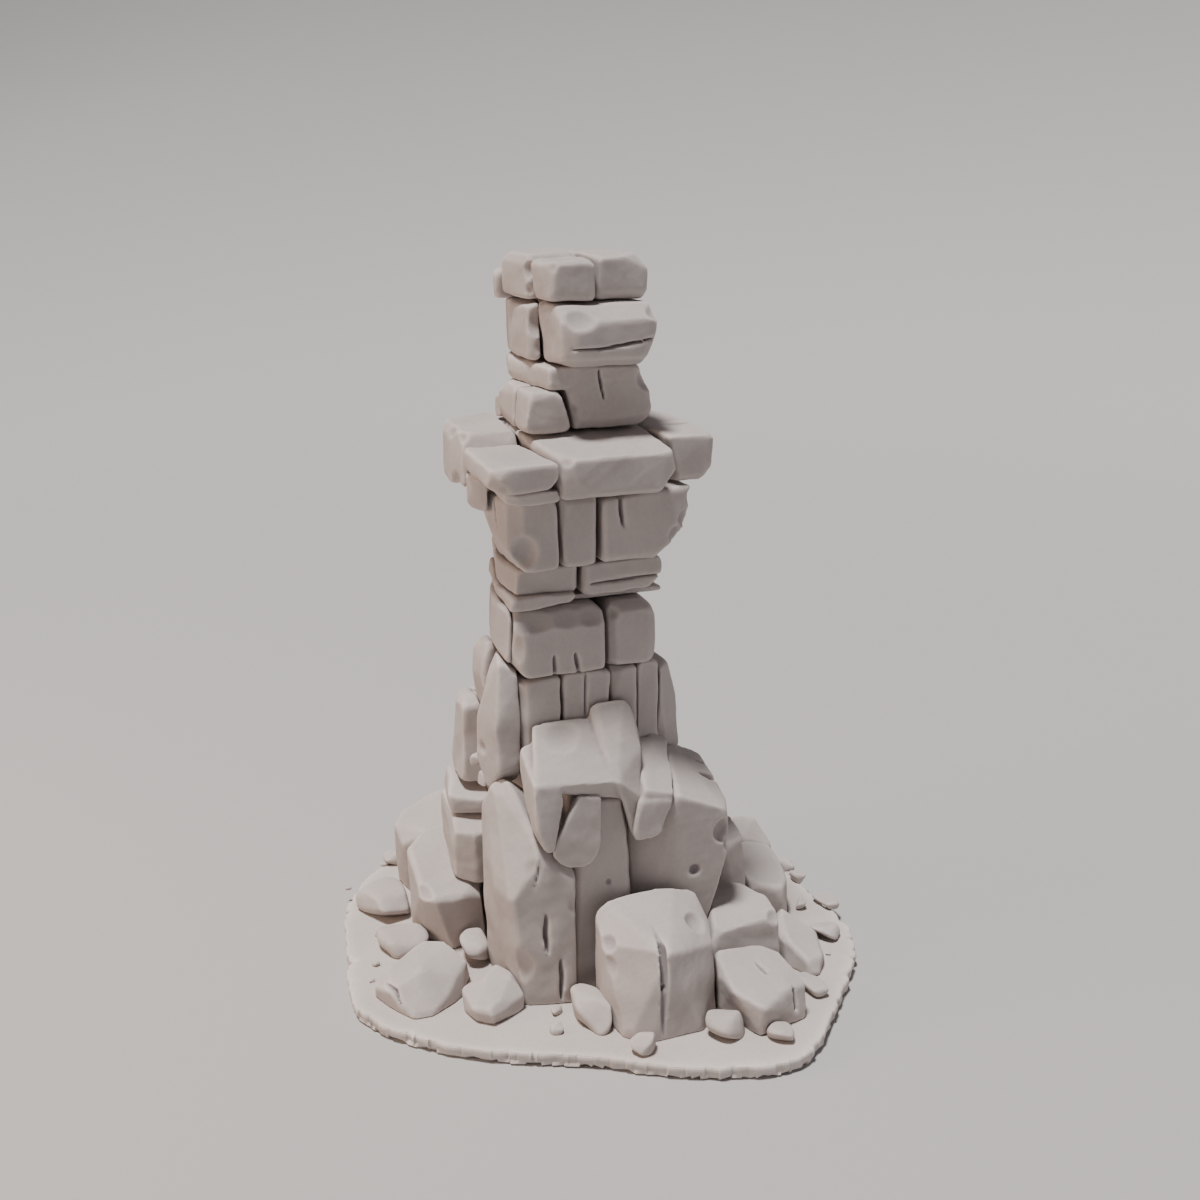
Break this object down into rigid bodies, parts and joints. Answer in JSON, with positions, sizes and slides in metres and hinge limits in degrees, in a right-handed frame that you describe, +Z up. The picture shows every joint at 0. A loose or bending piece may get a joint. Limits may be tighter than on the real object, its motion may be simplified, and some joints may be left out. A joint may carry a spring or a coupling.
{
  "type": "stone cairn",
  "caption": "Tall cairn of roughly dressed stone blocks stacked into a column that rises from a heap of boulders on a thin chipped slab.",
  "frame": {"origin": "centre of the slab's underside, on the ground", "axes": "+Z up, +X to the right of the column's front face, -Y in front of it"},
  "size_m": [1.106, 1.124, 1.5],
  "materials": {
    "stone": "dry matte warm-grey stone, chiselled facets with softly worn edges",
    "slab_stone": "dry matte pale warm-grey stone, flat top and a chipped rim"
  },
  "bodies": {
    "root": {"base_slab": "slab_stone", "front_boulder": "stone", "front_right_block": "stone", "saddle_stone": "stone", "tongue_stone": "stone", "wedge_stone": "stone", "right_boulder": "stone", "left_boulder": "stone", "pillar_stone": "stone", "left_outer_boulder": "stone", "left_rear_boulder": "stone", "left_prop": "stone", "left_upper_prop": "stone", "right_block": "stone", "right_tall_block": "stone", "right_rear_block": "stone", "right_far_block": "stone", "right_low_stone": "stone", "back_left_core": "stone", "back_right_core": "stone", "back_boulder": "stone", "back_right_boulder": "stone", "knee_front_left": "stone", "knee_front_middle": "stone", "knee_front_right": "stone", "knee_right": "stone", "knee_right_buttress": "stone", "knee_left_upright": "stone", "knee_left_back": "stone", "knee_outer_left": "stone", "hip_front": "stone", "hip_right": "stone", "hip_left": "stone", "waist_shim": "stone", "waist_bed": "stone", "waist_left": "stone", "waist_right": "stone", "chest_left": "stone", "chest_middle": "stone", "chest_right": "stone", "chest_back_left": "stone", "shoulder_centre": "stone", "shoulder_front_left": "stone", "shoulder_shim": "stone", "shoulder_right": "stone", "shoulder_left": "stone", "shoulder_left_prop": "stone", "shoulder_back_right": "stone", "shoulder_back": "stone", "neck_beam": "stone", "neck_corner": "stone", "neck_left": "stone", "brow_front": "stone", "brow_left": "stone", "crown_front": "stone", "crown_left": "stone", "crown_right": "stone", "crown_back": "stone", "loose_left_stone": "stone", "loose_front_stone": "stone"}
  },
  "joints": []
}
